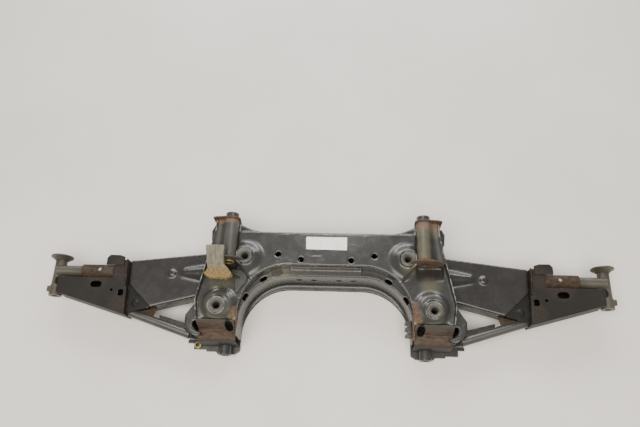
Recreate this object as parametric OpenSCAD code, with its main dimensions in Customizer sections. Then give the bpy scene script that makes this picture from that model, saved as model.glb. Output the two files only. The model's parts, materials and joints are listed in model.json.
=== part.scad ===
// Welded subframe for a car's rear axle, lying on its back with its face up. All sizes are in millimetres.
// X runs along the beam, Y runs from the feet to the tower tops, Z runs from the back plate to the face.
// Y is zero on the line through the two upper pivots.

/* [Sheet and fits] */
// Thickness of the pressed sheet
sheet = 3; // [2:0.1:4]
// Gap between two pieces that are welded together
weld_gap = 0.15; // [0.05:0.05:0.3]

/* [Beam] */
// Height of the beam's face
face_z = 105; // [98:1:112]
// Height of the ledge where the two shells meet
seam_z = 76; // [72:1:78]
// Upper edge of the beam
beam_top = 61; // [56:1:68]
// Crown of the arch
arch_top = -14; // [-18:1:-10]
// Half of the straight part of the arch's crown
arch_flat = 80; // [74:1:86]
// Corner radius of the arch
arch_r = 107; // [102:1:110]
// Width of the ledge below the crown
ledge_w = 17; // [12:0.5:22]
// Width of the back lip below the crown
lip_w = 13; // [8:0.5:18]
// Radius of the sweep from the beam up to a tower
sweep_r = 150; // [140:1:160]
// Length of that sweep along the beam
sweep_l = 75; // [66:1:80]

/* [Towers] */
// Height of a tower's floor
floor_z = 99; // [97:0.5:99]
// Top of a tower
tower_top = 84; // [82:1:90]
// Lower edge of a tower's floor
tower_bot = -135; // [-137:1:-133]
// Outer edge of a tower at its top
rim_top_x = 243; // [240:1:248]
// Outer edge of a tower at its lower end
rim_low_x = 276; // [272:1:282]
// Height of the raised rim at the tower's top
rim_high_z = 122; // [116:1:126]
// Height of the raised rim at the tower's lower end
rim_low_z = 107; // [104:1:112]
// Outer side of the back shell at the tower's foot
bulge_x = 300; // [294:1:306]
// Corner radius of the back shell at the tower's foot
bulge_r = 30; // [26:1:34]
// Lower edge of the back shell
shell_bot = -163; // [-166:1:-160]
// Depth of the pocket under an ear plate
pocket_d = 15; // [12:1:20]

/* [Pivots] */
// Distance of an upper pivot from the middle
pivot_up_x = 175; // [170:1:176]
// Distance of a lower pivot from the middle
pivot_low_x = 228; // [224:1:232]
// Height line of the lower pivots
pivot_low_y = -108; // [-112:1:-104]
// Outer diameter of a pivot sleeve
sleeve_d = 32; // [26:0.5:34]
// Bore of a pivot sleeve
sleeve_bore = 14; // [10:0.5:18]
// Countersink at a sleeve's mouth
sleeve_sink = 23; // [19:0.5:25]
// Foot radius of an upper dome
dome_r = 37; // [33:1:40]
// Height of an upper dome
dome_h = 13; // [9:0.5:17]
// Foot radius of a lower dome
low_dome_r = 36; // [34:0.5:38]
// Height of a lower dome
low_dome_h = 14; // [10:0.5:18]

/* [Body mounts] */
// Distance of a mount tube from the middle
tube_x = 210; // [208:1:214]
// Height of a mount tube's axis
tube_z = 112; // [108:1:116]
// Outer diameter of a mount tube
tube_d = 25; // [22:0.5:28]
// Bore of a mount tube
tube_bore = 18; // [14:0.5:19]
// Height line of the lower ear plate
ear_y = -11; // [-13:0.5:-9]
// Half width of an ear plate
ear_w = 37; // [32:1:40]
// Half depth of an ear plate
ear_h = 33; // [30:1:36]
// Collar on top of a mount tube
collar_d = 29; // [28.5:0.5:34]
// Length of the collar
collar_l = 11; // [6:0.5:16]

/* [Wings] */
// Height of an arm's face
arm_z = 75; // [70:1:78]
// Height of an arm's lower flange edge
arm_back_z = 35; // [30:1:38]
// Height of an end box's face
box_z = 85; // [82:1:90]
// Outer diameter of a brace tube
brace_d = 19; // [16:0.5:22]
// Bore of a brace tube
brace_bore = 14; // [10:0.5:15]
// Height of a brace tube's axis
brace_z = 53; // [50:0.5:56]
// Outer radius of a saddle
saddle_r = 16; // [14.5:0.5:18]
// Distance of a post from the middle
post_x = 600; // [590:1:612]
// Height of a post's axis
post_z = 62; // [58:1:66]
// Upper end of a post
post_top = -6; // [-9:0.5:-3]
// Outer diameter of a post
post_d = 25; // [22:0.5:27]
// Bore of a post
post_bore = 13; // [10:0.5:15]
// Diameter of the flange disc
disc_d = 49; // [42:1:56]
// Outer diameter of the lower post sleeve
post_sleeve_d = 28; // [26:0.5:32]
// Length of the lower post sleeve
post_sleeve_l = 23; // [19:1:30]

/* [Feet] */
// Outer diameter of a foot boss
boss_d = 28; // [24:0.5:32]
// Bore of a foot boss
boss_bore = 18; // [12:0.5:20]
// Distance of a foot boss from the middle
boss_x = 217; // [212:1:222]
// Length of a foot boss
boss_l = 21; // [14:0.5:28]

/* [Hidden] */
$fn = 64;
eps = 0.01;
arch_cy = arch_top - arch_r;
arch_side = arch_flat + arch_r;
cover_in = tube_d / 2 + weld_gap;
cover_out = cover_in + sheet;
tower_in = tube_x - cover_out - weld_gap;
step_y = ear_y - 1;
step_a = 42;
rim_a_x = rim_top_x + 6;
rim_b_x = rim_low_x - 14;
rim_c_x = rim_low_x - 5;
bulge_y = -122;
foot_y = shell_bot - 13;
pocket_z = floor_z - pocket_d;
web_z = floor_z + 10;
sweep_a = asin(sweep_l / sweep_r);
post_low = -62;
brace_a = atan(40 / 123);
brace_y0 = -156;
box_in_x = 437;
box_back = arm_back_z - sheet;
saddle_y = -30;
saddle_zc = box_z - 15;
saddle_x0 = 469;
saddle_x1 = 541;
saddle_in = saddle_r - sheet - 0.5;
chord_out = saddle_in - weld_gap;
foot_top = sheet + 4;
box_low = saddle_y - saddle_r - weld_gap;
steel = "#5a5855";
dark = "#46433f";
rust = "#a5714a";

function arc(cx, cy, r, a0, a1, n) =
    [for (i = [0:n]) let (a = a0 + (a1 - a0) * i / n) [cx + r * cos(a), cy + r * sin(a)]];
function flip(p) = [for (i = [len(p) - 1:-1:0]) [-p[i][0], p[i][1]]];

// Right half of the raised beam, d is the inset from its edge
function beam_half(d) = concat([[tower_in - d, beam_top - d], [tower_in - d, step_y + d / 2]],
    arc(arch_flat, arch_cy, arch_r + d, step_a + d, 90, 12));
// Outer edge of a tower from its top to its lower end
function rim_line(d) = [[rim_top_x - d, tower_top - d], [rim_top_x + 0.5 - d, 60], [rim_a_x - d, 30],
    [rim_b_x - d, -30], [rim_low_x - d, -95], [rim_c_x - d, tower_bot + d]];
// Raised web between a mount tube's cover and the rim beside it
function web_pts(d) = let (y0 = ear_y + sheet, x = tube_x + cover_out + weld_gap + d,
    e = sheet + weld_gap + d)
    [[x, tower_top - d], [rim_top_x - e, tower_top - d], [rim_top_x + 0.5 - e, 60], [rim_a_x - e, 30],
    [rim_a_x + (rim_b_x - rim_a_x) * (30 - y0) / 60 - e, y0 + d], [x, y0 + d]];
// One tower's floor
function tower_pts(d) = concat([[tower_in + d, tower_top - d]], rim_line(d),
    [[arch_side + d, tower_bot + d]], arc(arch_flat, arch_cy, arch_r + d, 0, step_a - d, 10),
    [[tower_in + d, step_y - d / 2]]);
// Right half of the whole front outline
function full_half(d) = concat([[tower_in + d, beam_top - d], [tower_in + d, tower_top - d]], rim_line(d),
    [[arch_side + d, tower_bot + d]], arc(arch_flat, arch_cy, arch_r + d, 0, 90, 20));
// Right half of the back shell, its arch dropped below the front one
function rear_half(d, drop) = concat(
    arc(tower_in - sweep_l, beam_top + sweep_r, sweep_r + d, -90, sweep_a - 90, 10),
    [[tower_in, tower_top - d], [rim_top_x + 13 - d, tower_top - d],
    [rim_top_x + 19 - d, 70], [rim_top_x + 17 - d, 48], [rim_a_x + 1 - d, 32], [rim_a_x - d, 30],
        [rim_b_x - d, -30], [rim_low_x - d, -86], [bulge_x - d, bulge_y]],
    arc(bulge_x - bulge_r, shell_bot + bulge_r, bulge_r - d, 0, -90, 10),
    [[arch_side + d, shell_bot + d]], arc(arch_flat, arch_cy - drop, arch_r + d, 0, 90, 20));
// Outline of an arm from the tower to the end box
function arm_pts(d) = [[250, 19 - d], [280, 15 - d], [440, -4.4 - d], [440, -122.7 + d], [402, -113 + d],
    [363, -103 + d], [283, -82 + d], [250, -76 + d]];
// Outline of an end box
function box_pts(d) = [[box_in_x + d, -4 - d], [box_in_x - 6 + d, -127 + d * 1.3],
    [post_x - 10 - d, -81 + d],
    [post_x - 10 - d, box_low - d], [saddle_x0 - weld_gap - d, box_low - d],
    [saddle_x0 - weld_gap - d, -16 - d],
    [saddle_x0 - 8 - d, -6 - d]];
// Outline of the web that sweeps up from the beam to a tower
function sweep_pts(d, a0) = concat(arc(tower_in - sweep_l, beam_top + sweep_r, sweep_r + d, a0 - 90,
        asin((sweep_l - d) / (sweep_r + d)) - 90, 8),
    [[tower_in - d, beam_top - sheet], [tower_in - sweep_l + (sweep_r + d) * sin(a0), beam_top - sheet]]);

module side(s) {
    if (s > 0) children();
    else mirror([1, 0, 0]) children();
}
module outline(half) polygon(concat(half, flip(half)));
module slab(z0, z1) translate([0, 0, z0]) linear_extrude(z1 - z0) children();
module bar_y(x, y0, y1, z, d) translate([x, y1, z]) rotate([90, 0, 0]) cylinder(h = y1 - y0, d = d);
module rear_cut() slab(-1, 200) outline(rear_half(-weld_gap, ledge_w));
module box_cut() slab(0, 200) polygon(box_pts(-weld_gap));
module arm_cut() slab(0, 200) polygon(arm_pts(-weld_gap));
module post_cut() {
    bar_y(post_x, post_top - 200, post_top + 20, post_z, post_sleeve_d + 2 * weld_gap);
}
module brace_bar(d, l) translate([290, brace_y0 - 15 * tan(brace_a), brace_z]) rotate([0, 0, brace_a])
    rotate([0, 90, 0]) cylinder(h = l, d = d);
// Profile of a pressed swell that leaves the sheet and meets its top softly
function swell(r0, r1, h) = [for (i = [0:8]) [r0 + (r1 - r0) * i / 8, h * (1 - cos(22.5 * i)) / 2]];
module swell_dome(r0, r1, h) rotate_extrude() polygon(concat([[0, -eps], [r0, -eps]], swell(r0, r1, h),
    [[0, h]]));
module upper_dome(d) translate([pivot_up_x, 0, face_z - d])
    swell_dome(dome_r + 3 - d, sleeve_d / 2 + 3 - d, dome_h);
module lower_dome(d) translate([pivot_low_x, pivot_low_y, floor_z - d]) {
    translate([-3, 6, 0]) swell_dome(low_dome_r + 2 - d, low_dome_r - 8 - d, low_dome_h * 0.6);
    translate([0, 0, low_dome_h * 0.6])
        swell_dome(low_dome_r - 11 - d, sleeve_d / 2 + 2 - d, low_dome_h * 0.4);
}
module sleeve_hole(x, y) translate([x, y, -1]) cylinder(h = 200, d = sleeve_d + 2 * weld_gap);

// Pressed front shell: beam face, tower floors, raised rims and domes
module front_shell() color(steel) difference() {
    union() {
        slab(seam_z, face_z) outline(beam_half(0));
        for (s = [-1, 1]) side(s) {
            slab(seam_z, face_z - 7) polygon(sweep_pts(0, 3));
            difference() {
                slab(seam_z, floor_z) polygon(tower_pts(0));
                pocket(0);
            }
            tower_rim();
            intersection() { upper_dome(0); slab(0, 200) outline(beam_half(0)); }
            intersection() { lower_dome(0); slab(0, 200) polygon(tower_pts(0)); }
        }
    }
    slab(seam_z - 1, face_z - sheet) outline(beam_half(sheet));
    for (s = [-1, 1]) side(s) {
        slab(seam_z - 1, face_z - 7 - sheet) polygon(sweep_pts(sheet, 16));
        difference() {
            slab(seam_z - 1, floor_z - sheet) polygon(tower_pts(sheet));
            pocket(sheet);
        }
        intersection() { upper_dome(sheet); slab(0, 200) outline(beam_half(sheet)); }
        intersection() { lower_dome(sheet); slab(0, 200) polygon(tower_pts(sheet)); }
        sleeve_hole(pivot_up_x, 0);
        sleeve_hole(pivot_low_x, pivot_low_y);
        translate([104, 9, face_z - 10]) cylinder(h = 20, d = 11);
        translate([54, -2, face_z - 10]) cylinder(h = 20, d = 11);
    }
}
// Pocket pressed into a tower's floor below the ear plate
module pocket(d) translate([tower_in - d, 0, 0]) rotate([90, 0, 90])
    linear_extrude(rim_a_x + 2 - tower_in + 2 * d)
        polygon([[ear_y + sheet + d, pocket_z - d], [ear_y - 2 - d / 2, pocket_z - d],
        [ear_y - 2 - 2 * (pocket_d + 20) - d, floor_z + 20], [ear_y + sheet + d, floor_z + 20]]);
module tower_rim() difference() {
    slab(floor_z - eps, rim_high_z + 10)
        polygon(concat(rim_line(0), [for (i = [5:-1:0]) rim_line(0)[i] - [sheet, 0]]));
    translate([200, tower_top, rim_high_z])
        rotate([atan((rim_high_z - rim_low_z) / (tower_top - tower_bot)), 0, 0])
            translate([0, -300, 0]) cube([120, 400, 60]);
}

// Pressed back shell: side walls, seam ledge and the lip round the arch
module rear_shell() color(steel) difference() {
    union() {
        slab(sheet, seam_z) difference() {
            outline(rear_half(0, ledge_w));
            outline(rear_half(sheet, ledge_w));
        }
        slab(seam_z - sheet, seam_z) difference() {
            outline(rear_half(0, ledge_w));
            outline(full_half(8));
        }
        slab(sheet, 2 * sheet) polygon(concat(lip_line(1, ledge_w),
            [for (i = [41:-1:0]) lip_line(0, ledge_w + lip_w)[i]]));
    }
    for (s = [-1, 1]) side(s) {
        translate([arch_side + sheet, shell_bot - 5, 34]) cube([92, tower_bot - shell_bot + 5, 60]);
        for (a = [28, 58])
            translate([arch_flat + (arch_r - 1) * cos(a), arch_cy - ledge_w / 2 + (arch_r - 1) * sin(a),
                seam_z]) rotate([0, 0, a]) slot_cut(16, 7);
        for (x = [28, 60]) bar_y(x, arch_top - ledge_w - 10, arch_top - ledge_w + 10, 42, 9);
    }
}
function lip_line(d, drop) = let (h = arc(arch_flat, arch_cy - drop, arch_r + d, 8, 90, 20))
    concat([for (p = h) [-p[0], p[1]]], [for (i = [20:-1:0]) h[i]]);
module slot_cut(l, w) translate([0, 0, -10]) {
    translate([-w / 2, -(l - w) / 2, 0]) cube([w, l - w, 20]);
    for (s = [-1, 1]) translate([0, s * (l - w) / 2, 0]) cylinder(h = 20, d = w);
}

// Flat plate that closes the back
module back_plate() color(dark) difference() {
    slab(0, sheet) outline(rear_half(0, ledge_w + lip_w));
    for (s = [-1, 1]) side(s) {
        sleeve_hole(pivot_up_x, 0);
        sleeve_hole(pivot_low_x, pivot_low_y);
        translate([80, 22, -1]) cylinder(h = 10, d = 34);
        translate([228, 42, -1]) cylinder(h = 10, d = 40);
        translate([228, -42, -1]) cylinder(h = 10, d = 26);
    }
}
// Flat bar on the ledge at the crown of the arch
module arch_strip() color(steel) slab(seam_z, face_z - 12)
    polygon([[-76, arch_top - weld_gap], [76, arch_top - weld_gap],
        [76, arch_top - 9], [-76, arch_top - 9]]);
// Blank paper label
module label() color("white") translate([-44.5, 21, face_z]) cube([89, 28.6, 0.4]);

module pivot_sleeve(x, y, top) color(steel) translate([x, y, 0]) difference() {
    cylinder(h = top + 1, d = sleeve_d);
    translate([0, 0, -1]) cylinder(h = top + 5, d = sleeve_bore);
    translate([0, 0, top + 1 - (sleeve_sink - sleeve_bore) / 2])
        cylinder(h = (sleeve_sink - sleeve_bore) / 2 + eps, d1 = sleeve_bore, d2 = sleeve_sink);
}
module pivot_up() pivot_sleeve(pivot_up_x, 0, face_z + dome_h);
module pivot_low() pivot_sleeve(pivot_low_x, pivot_low_y, floor_z + low_dome_h);

// Round-topped channel over the mount tube
module tube_cover() color(steel) difference() {
    union() {
        bar_y(tube_x, ear_y + sheet, tower_top, tube_z, 2 * cover_out);
        translate([tube_x - cover_out, ear_y + sheet, floor_z])
            cube([2 * cover_out, tower_top - ear_y - sheet, tube_z - floor_z]);
    }
    bar_y(tube_x, ear_y, tower_top + 5, tube_z, 2 * cover_in);
    translate([tube_x - cover_in, ear_y, floor_z - 1])
        cube([2 * cover_in, tower_top - ear_y + 5, tube_z - floor_z + 1]);
    translate([tube_x - 50, ear_y - 5, floor_z - 50]) cube([100, 200, 50]);
}
// Raised web that joins the cover to the rim beside it
module tower_web() color(steel) difference() {
    slab(floor_z, web_z) polygon(web_pts(0));
    slab(floor_z - 1, web_z - sheet) polygon(web_pts(sheet));
}
// Thick tube that takes the body mount bolt, with its top collar
module mount_tube() color(dark) difference() {
    union() {
        bar_y(tube_x, ear_y + sheet, tower_top + sheet + collar_l, tube_z, tube_d);
        bar_y(tube_x, tower_top + sheet + weld_gap, tower_top + sheet + collar_l, tube_z, collar_d);
    }
    bar_y(tube_x, ear_y - 5, tower_top + sheet + collar_l + 5, tube_z, tube_bore);
}
// Plate across the tower's top
module cap_plate() color(rust) difference() {
    translate([0, tower_top + sheet, 0]) rotate([90, 0, 0]) linear_extrude(sheet) polygon(concat(
        [[tower_in + 1, 60], [rim_top_x + 8, 60], [rim_top_x + 8, tube_z + 8],
            [rim_top_x + 2, tube_z + cover_out - 2]],
        arc(tube_x, tube_z, cover_out + 4, 90, 180 - 12, 6)));
    bar_y(tube_x, tower_top - 5, tower_top + 10, tube_z, tube_d + 2 * weld_gap);
}
// Oval plate across the tube's lower end
module ear_plate() color(rust) difference() {
    translate([0, ear_y + sheet - weld_gap, 0]) rotate([90, 0, 0]) linear_extrude(sheet - weld_gap)
        polygon([for (a = [-60:10:240]) [tube_x + ear_w * cos(a), max(pocket_z, tube_z + ear_h * sin(a))]]);
    bar_y(tube_x, ear_y - 5, ear_y + 10, tube_z, tube_bore);
    translate([tube_x - 60, ear_y - 10, 0]) cube([60 - cover_out, 30, face_z + dome_h + 2]);
}

// Bent bracket under the tower
module link_bracket() color(rust) difference() {
    translate([arch_side + sheet + weld_gap, 0, 0]) rotate([90, 0, 90]) linear_extrude(81) polygon([
        [tower_bot - weld_gap, floor_z], [tower_bot - 2, floor_z], [tower_bot - 14.5, 60], [foot_y, 58],
        [foot_y, foot_top + weld_gap], [foot_y + sheet, foot_top + weld_gap], [foot_y + sheet, 55.2],
        [tower_bot - 12.5, 57], [tower_bot - weld_gap, floor_z - 4.2]]);
    translate([203, tower_bot - 9, 40]) cylinder(h = 60, d = 17);
    bar_y(boss_x + 4, foot_y - 5, foot_y + 8, 45, 13);
}
// Stepped plate at the tower's foot
module foot_plate() color(dark) slab(sheet, foot_top) polygon([[arch_side, shell_bot - weld_gap],
    [bulge_x + 4, shell_bot - weld_gap], [bulge_x + 4, foot_y + 5], [290, foot_y + 5],
    [290, foot_y - 8], [262, foot_y - 8], [262, foot_y - 12], [240, foot_y - 12],
    [236, foot_y - 17], [198, foot_y - 17], [arch_side, foot_y - 10]]);
// Round boss on the foot plate
module foot_boss() color(dark) difference() {
    bar_y(boss_x, foot_y - weld_gap - boss_l, foot_y - weld_gap, foot_top + boss_d / 2, boss_d);
    bar_y(boss_x, foot_y - boss_l - 20, foot_y + 20, foot_top + boss_d / 2, boss_bore);
}

// Pressed arm of a wing, with its tapered rib and dimple
module arm_front() color(dark) difference() {
    union() {
        difference() {
            slab(arm_back_z, arm_z) polygon(arm_pts(0));
            slab(arm_back_z - 1, arm_z - sheet) polygon(arm_pts(sheet));
        }
        difference() {
            translate([250, -29, arm_z - 2]) rotate([0, 90, 0]) cylinder(h = 68, r1 = 20, r2 = 8);
            translate([249, -29, arm_z - 2]) rotate([0, 90, 0]) cylinder(h = 66, r1 = 17, r2 = 5);
            translate([200, -100, 0]) cube([200, 200, arm_z - sheet]);
        }
        translate([340, -31, arm_z - eps]) cylinder(h = 4, r1 = 10, r2 = 6);
    }
    rear_cut();
    box_cut();
    slab(0, 200) polygon([[450, -42], [434, -57], [382, -106], [380, -140], [450, -140]]);
}
// Flat back of an arm
module arm_rear() color(dark) difference() {
    slab(box_back, arm_back_z) polygon(arm_pts(0));
    rear_cut();
    box_cut();
    translate([330, -40, 0]) cylinder(h = 100, d = 30);
    translate([395, -55, 0]) cylinder(h = 100, d = 24);
}
// Sunken panel between the arm and the end box
module corner_panel() color(dark) difference() {
    union() {
        slab(arm_z - 2 * sheet, arm_z - sheet)
            polygon([[440, -37], [428, -48], [372, -100.5], [383.3, -103.3],
                [383.3, -108.2], [402, -113], [440, -121.7]]);
        slab(brace_z + brace_d / 2 + weld_gap, arm_z - sheet)
            polygon([[383.3, -105.2], [402, -110], [440, -118.7], [440, -121.7], [402, -113],
                [383.3, -108.2]]);
        translate([413, -100, arm_z - sheet - eps]) cylinder(h = 3, r1 = 9, r2 = 5);
    }
    box_cut();
}
// Raised box at the wing's end
module end_box() color(dark) difference() {
    union() {
        difference() {
            slab(arm_back_z, box_z) polygon(box_pts(0));
            slab(arm_back_z - 1, box_z - sheet) polygon(box_pts(sheet));
        }
        slab(box_z - eps, box_z + 8)
            polygon([[box_in_x, -4], [box_in_x - 3.1, -64], [box_in_x - 0.1, -64], [box_in_x + 3, -4]]);
    }
    translate([440, -86, box_z - 10]) cube([11, 13, 20]);
    translate([467, -74, box_z - 10]) cylinder(h = 20, d = 6);
    translate([503, -62, box_z]) rotate([0, 0, 90]) slot_cut(24, 13);
    post_cut();
}
module end_rear() color(dark) difference() {
    slab(box_back, arm_back_z) polygon(box_pts(0));
    translate([490, -80, 0]) cylinder(h = 100, d = 26);
    post_cut();
}
module top_tab() color(steel) slab(box_z, box_z + sheet) 
    polygon([[446, -18], [486, -18], [486, -2], [480, 5], [458, 5], [446, 1]]);
// Curved strap on the end box, with its small hole
module saddle() color(rust) difference() {
    translate([saddle_x0, saddle_y, saddle_zc]) rotate([0, 90, 0])
        cylinder(h = saddle_x1 - saddle_x0, r = saddle_r);
    translate([saddle_x0 - 1, saddle_y, saddle_zc]) rotate([0, 90, 0])
        cylinder(h = saddle_x1 - saddle_x0 + 2, r = saddle_in);
    translate([400, saddle_y - 50, saddle_zc - 60]) cube([200, 100, 60]);
    translate([500, saddle_y + 2, 0]) cylinder(h = 200, d = 8);
}
module top_chord() color(steel) difference() {
    translate([saddle_x1 - 12, saddle_y, saddle_zc]) rotate([0, 90, 0])
        cylinder(h = post_x - saddle_x1 + 12, r = chord_out);
    translate([saddle_x1 - 13, saddle_y, saddle_zc]) rotate([0, 90, 0])
        cylinder(h = post_x - saddle_x1 + 20, r = chord_out - sheet);
    translate([400, saddle_y - 50, saddle_zc - 60]) cube([300, 100, 60]);
    bar_y(post_x, -100, 50, post_z, post_d + 2 * weld_gap);
}
// End post with the scalloped side towards the box
module post() color(steel) difference() {
    bar_y(post_x, post_low, post_top, post_z, post_d);
    bar_y(post_x, -100, post_top + 5, post_z, post_bore);
    translate([post_x - 11, -53, 0]) cylinder(h = 200, r = 13);
}
module post_disc() color(steel) difference() {
    union() {
        bar_y(post_x, post_top + 8, post_top + 12, post_z, disc_d);
        translate([post_x, post_top, post_z]) rotate([-90, 0, 0])
            cylinder(h = 8 + eps, d1 = post_d, d2 = disc_d - 6);
    }
    bar_y(post_x, post_top - 5, post_top + 20, post_z, post_bore);
}
module post_sleeve() color(steel) difference() {
    union() {
        bar_y(post_x, post_low - weld_gap - post_sleeve_l, post_low - weld_gap, post_z, post_sleeve_d);
        translate([post_x, post_low - 14, post_z - 6]) cube([post_sleeve_d / 2 + 5, 12, 12]);
    }
    bar_y(post_x, -150, -50, post_z, post_bore);
}
// Brace tube from the tower's foot to the end box
module brace_tube() color(steel) difference() {
    brace_bar(brace_d, 220);
    brace_bar(brace_bore, 230);
    rear_cut();
    box_cut();
}
// Flat fin along the brace tube
module strut() color(dark) difference() {
    slab(brace_z - 2, brace_z + 2) polygon([[294, -152], [290, -139], [362, -120], [362, -131]]);
    rear_cut();
    arm_cut();
    brace_bar(brace_d + 2 * weld_gap, 220);
}
module gusset() color(rust) difference() {
    slab(brace_z + 3, brace_z + 6) polygon([[366, -98], [408, -108], [412, -122], [378, -136]]);
    arm_cut();
    brace_bar(brace_d + 2 * weld_gap, 220);
}

// Moulded block hooked over the left ear plate
module tan_block() color("#948a72") difference() {
    slab(tube_z + cover_out + weld_gap, tube_z + ear_h + 5) polygon([[-tube_x - 44, ear_y + 23],
        [-tube_x - 4.5, ear_y + 24], [-tube_x - 2.5, ear_y - 18], [-tube_x + 5, ear_y - 23.5],
        [-tube_x + 16, ear_y - 38], [-tube_x + 10, ear_y - 44], [-tube_x + 5, ear_y - 46],
        [-tube_x - 31, ear_y - 46], [-tube_x - 45, ear_y - 36], [-tube_x - 36, ear_y - 28]]);
    translate([-300, ear_y - weld_gap, 0]) cube([200, sheet + weld_gap, tube_z + ear_h + weld_gap]);
}
// Plated ring round the left tube's mouth
module thread_ring() color("#b5a24a") difference() {
    bar_y(-tube_x, ear_y - 4, ear_y - weld_gap, tube_z, 26);
    bar_y(-tube_x, ear_y - 10, ear_y + 10, tube_z, tube_bore + 1.5);
}
// Bent strap on the left tower's floor
module hook_strap() color("#7f8274") slab(floor_z, floor_z + 4)
    translate([-arch_side, 0]) polygon([[-17, -26], [4, -28.3], [9, -31], [15, -38], [19, -46], [17, -56],
    [9.5, -62], [1.3, -78], [-5, -77], [-9, -47.6], [3, -47.3], [3, -42], [-16, -39]]);
module arch_tab() color("#7f8274") slab(seam_z, seam_z + sheet)
    polygon([[-120, -24.5], [-97, -17.5], [-95, -28], [-104, -33], [-116, -34]]);
// Ribbed clip on the right tower's inner side
module ribbed_clip() color(dark) difference() {
    union() {
        translate([arch_side - 9, -152, 32]) cube([20, 34, 16]);
        for (y = [-152, -138, -124]) translate([arch_side - 14, y, 30]) cube([20, 6, 20]);
    }
    rear_cut();
}
module foot_nut() color("#b5a24a") translate([-arch_side - 93, foot_y + 1, foot_top]) difference() {
    cylinder(h = 8, d = 15);
    translate([0, 0, -1]) cylinder(h = 10, d = 8);
}

front_shell();
rear_shell();
back_plate();
arch_strip();
label();
side(-1) pivot_up();  // pivot_up_l
side(1) pivot_up();  // pivot_up_r
side(-1) pivot_low();  // pivot_low_l
side(1) pivot_low();  // pivot_low_r
side(-1) tube_cover();  // tube_cover_l
side(1) tube_cover();  // tube_cover_r
side(-1) tower_web();  // tower_web_l
side(1) tower_web();  // tower_web_r
side(-1) mount_tube();  // mount_tube_l
side(1) mount_tube();  // mount_tube_r
side(-1) cap_plate();  // cap_plate_l
side(1) cap_plate();  // cap_plate_r
side(-1) ear_plate();  // ear_plate_l
side(1) ear_plate();  // ear_plate_r
side(-1) link_bracket();  // link_bracket_l
side(1) link_bracket();  // link_bracket_r
side(-1) foot_plate();  // foot_plate_l
side(1) foot_plate();  // foot_plate_r
side(-1) foot_boss();  // foot_boss_l
side(1) foot_boss();  // foot_boss_r
side(-1) arm_front();  // arm_front_l
side(1) arm_front();  // arm_front_r
side(-1) arm_rear();  // arm_rear_l
side(1) arm_rear();  // arm_rear_r
side(-1) corner_panel();  // corner_panel_l
side(1) corner_panel();  // corner_panel_r
side(-1) end_box();  // end_box_l
side(1) end_box();  // end_box_r
side(-1) end_rear();  // end_rear_l
side(1) end_rear();  // end_rear_r
side(-1) top_tab();  // top_tab_l
side(1) top_tab();  // top_tab_r
side(-1) saddle();  // saddle_l
side(1) saddle();  // saddle_r
side(-1) top_chord();  // top_chord_l
side(1) top_chord();  // top_chord_r
side(-1) post();  // post_l
side(1) post();  // post_r
side(-1) post_disc();  // post_disc_l
side(1) post_disc();  // post_disc_r
side(-1) post_sleeve();  // post_sleeve_l
side(1) post_sleeve();  // post_sleeve_r
side(-1) brace_tube();  // brace_tube_l
side(1) brace_tube();  // brace_tube_r
side(-1) strut();  // strut_l
side(1) strut();  // strut_r
side(-1) gusset();  // gusset_l
side(1) gusset();  // gusset_r
tan_block();
thread_ring();
hook_strap();
arch_tab();
ribbed_clip();
foot_nut();
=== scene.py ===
import json
import math

import bmesh
import bpy
from mathutils import Matrix, Vector, noise


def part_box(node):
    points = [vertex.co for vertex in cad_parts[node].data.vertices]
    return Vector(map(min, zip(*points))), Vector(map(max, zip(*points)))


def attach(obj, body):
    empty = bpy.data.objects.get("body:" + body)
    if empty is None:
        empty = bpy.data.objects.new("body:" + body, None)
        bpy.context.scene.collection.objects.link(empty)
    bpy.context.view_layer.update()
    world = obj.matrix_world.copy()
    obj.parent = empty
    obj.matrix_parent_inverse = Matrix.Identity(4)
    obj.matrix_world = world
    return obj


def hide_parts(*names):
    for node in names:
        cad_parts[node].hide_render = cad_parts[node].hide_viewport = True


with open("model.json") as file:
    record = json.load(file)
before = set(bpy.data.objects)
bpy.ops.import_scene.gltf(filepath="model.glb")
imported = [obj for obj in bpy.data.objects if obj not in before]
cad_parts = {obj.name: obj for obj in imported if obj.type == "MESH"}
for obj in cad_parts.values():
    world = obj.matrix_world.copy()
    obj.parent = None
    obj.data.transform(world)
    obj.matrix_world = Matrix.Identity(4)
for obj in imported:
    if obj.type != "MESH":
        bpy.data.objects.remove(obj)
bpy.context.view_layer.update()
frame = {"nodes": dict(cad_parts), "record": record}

nodes = frame["nodes"]
slot_of = {part["node"]: part["material_slot"] for part in frame["record"]["subparts"]}
MM = 0.001
SIDES = (("l", -1), ("r", 1))
# Set, because the noise would otherwise start from the clock and lay the welds a little differently each run
noise.seed_set(1)


# Shader nodes and colours

def linear(hex_code):
    """The linear colour of an sRGB hex value."""
    parts = [int(hex_code[i:i + 2], 16) / 255 for i in (1, 3, 5)]
    return [c / 12.92 if c <= 0.04045 else ((c + 0.055) / 1.055) ** 2.4 for c in parts] + [1.0]


def put(tree, kind, sockets, out=0, **settings):
    """Adds one node with its settings, feeds its sockets and gives back the output that is wanted."""
    made = tree.nodes.new("ShaderNode" + kind)
    for key, value in settings.items():
        setattr(made, key, value)
    for socket, value in sockets.items():
        if isinstance(value, bpy.types.NodeSocket):
            tree.links.new(value, made.inputs[socket])
        else:
            made.inputs[socket].default_value = linear(value) if isinstance(value, str) else value
    return made.outputs[out]


SMOOTH = {"interpolation_type": "SMOOTHSTEP"}
COLOUR = {"data_type": "RGBA", "out": 2}
ADD, TIMES, MOST = ({"operation": name} for name in ("ADD", "MULTIPLY", "MAXIMUM"))


def per_mm(size):
    """Noise scale whose blotches are about this many millimetres wide."""
    return 1 / (size * MM)


def new_material(name):
    """A new material with its tree, its shader and the piece's own coordinates."""
    material = bpy.data.materials.new(name)
    material.use_nodes = True
    tree = material.node_tree
    return material, tree, tree.nodes["Principled BSDF"], put(tree, "TexCoord", {}, "Object")


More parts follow.
